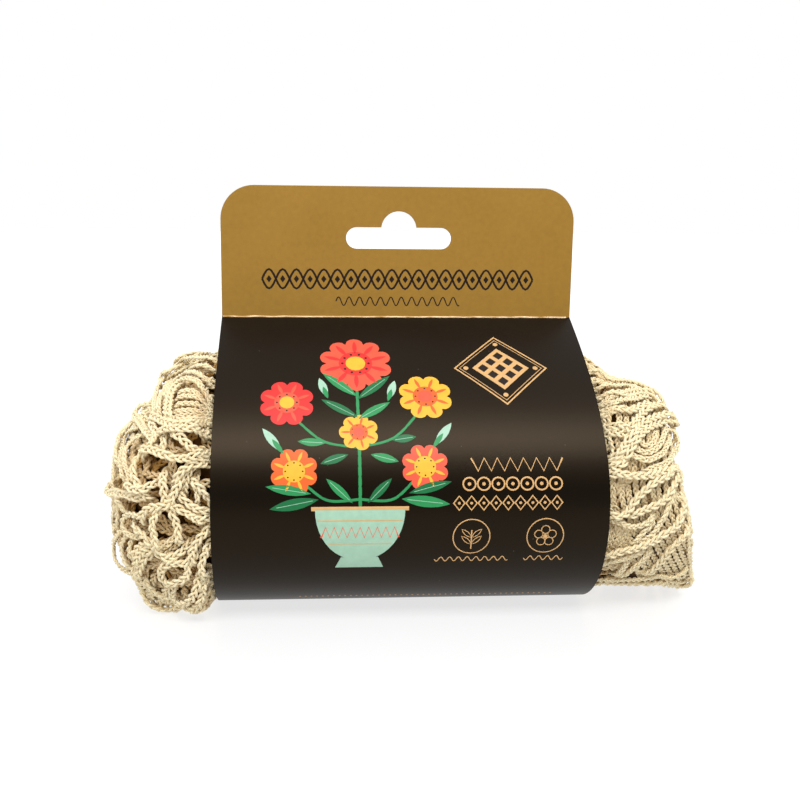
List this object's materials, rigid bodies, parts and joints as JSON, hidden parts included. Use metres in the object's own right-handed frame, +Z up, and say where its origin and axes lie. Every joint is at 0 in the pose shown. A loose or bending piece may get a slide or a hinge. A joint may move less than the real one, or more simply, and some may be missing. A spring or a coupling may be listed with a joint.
{
  "type": "string bag",
  "caption": "Rolled cotton mesh string bag held in a printed card sleeve with an upright hang card and a euro slot, as it is sold.",
  "frame": {"origin": "on the table, under the middle of the whole pack", "axes": "+X along the roll, -Y towards the printed front, +Z up"},
  "size_m": [0.1757, 0.0714, 0.1202],
  "materials": {
    "cotton": "undyed knitted and knotted cotton cord",
    "printed_board": "printed carton board with a satin laminate"
  },
  "bodies": {
    "root": {"string_bag": "cotton", "card_sleeve": "printed_board"}
  },
  "joints": []
}
